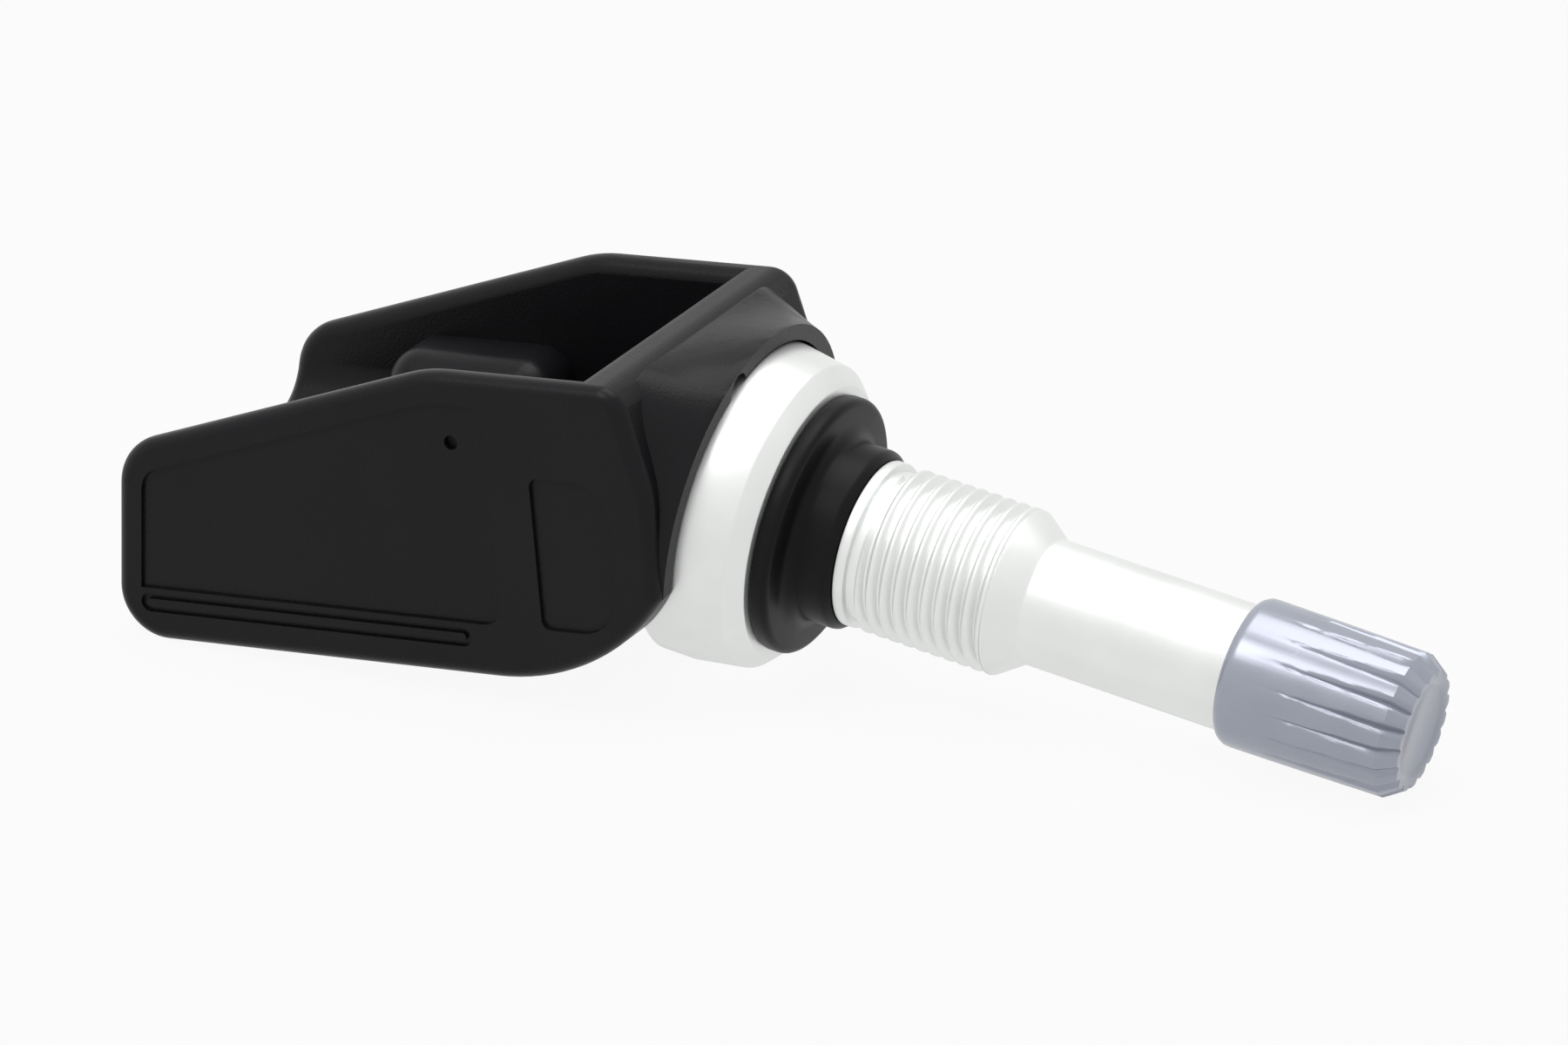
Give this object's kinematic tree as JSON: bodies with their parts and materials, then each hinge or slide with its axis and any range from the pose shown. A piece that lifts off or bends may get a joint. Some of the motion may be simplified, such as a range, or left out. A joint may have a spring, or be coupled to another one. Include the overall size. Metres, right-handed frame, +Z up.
{
  "type": "tyre pressure sensor",
  "caption": "Clamp-in tyre pressure sensor: winged plastic housing screwed to a turned valve stem with rim seal, nut thread, valve core and screw cap.",
  "frame": {"origin": "centre of the bounding box in plan, on the table the sensor lies on", "axes": "+X along the sensor towards the cap, +Y towards the wing that is at the back in the picture, +Z up; the sensor lies on the lower back edge of its housing and on the tip of its cap"},
  "size_m": [0.0818, 0.0236, 0.0219],
  "materials": {
    "housing_plastic": "moulded, fine texture, satin on rounded edges",
    "cover_plastic": "moulded, matt",
    "board_laminate": "solder mask, satin",
    "cell_steel": "rolled, satin",
    "tab_nickel": "rolled strip",
    "chip_epoxy": "moulded epoxy, matt",
    "inner_rubber": "moulded, matt",
    "crystal_can": "plated can",
    "capacitor_ceramic": "ceramic with tinned ends",
    "coil_ferrite": "pressed ferrite, matt",
    "copper_wire": "enamelled wire",
    "antenna_metal": "tinned strip",
    "screw_steel": "plated, satin",
    "stem_aluminium": "turned, satin bright",
    "seal_rubber": "moulded, satin",
    "core_brass": "turned",
    "spring_steel": "drawn wire",
    "cap_plastic": "moulded, semi-gloss, grey"
  },
  "bodies": {
    "sensor_body": {"housing": "housing_plastic", "base_cover": "cover_plastic", "circuit_board": "board_laminate", "battery": "cell_steel", "battery_tab_positive": "tab_nickel", "battery_tab_negative": "tab_nickel", "sensor_chip": "chip_epoxy", "port_seal": "inner_rubber", "radio_chip": "chip_epoxy", "crystal": "crystal_can", "chip_capacitors": "capacitor_ceramic", "coil_core": "coil_ferrite", "coil_winding": "copper_wire", "antenna_strip": "antenna_metal", "fixing_screw": "screw_steel", "screw_washer": "screw_steel", "valve_stem": "stem_aluminium", "rim_seal": "seal_rubber", "core_body": "core_brass", "core_seal": "inner_rubber", "core_spring": "spring_steel"},
    "cap_slider": {"cap_seal": "inner_rubber"},
    "cap": {"valve_cap": "cap_plastic"},
    "core_plunger": {"core_pin": "core_brass", "core_cup": "inner_rubber"}
  },
  "joints": [
    {"name": "cap_slide", "type": "slide", "parent": "sensor_body", "child": "cap_slider", "axis": [0.9883, 0, -0.1524], "range_m": [0, 0.00556]},
    {"name": "cap_turn", "type": "hinge", "parent": "cap_slider", "child": "cap", "pos_m": [0.04032, 0, 0.0042], "axis": [0.9883, 0, -0.1524], "range_deg": [0, 2521]},
    {"name": "core_pin_press", "type": "slide", "parent": "sensor_body", "child": "core_plunger", "axis": [-0.9883, 0, 0.1524], "range_m": [0, 0.001], "stiffness_N_per_m": 300, "deforming": ["core_spring"]}
  ],
  "couplings": [
    {"joint": "cap_turn", "follows": "cap_slide", "rad_per_m": 7915.8}
  ]
}
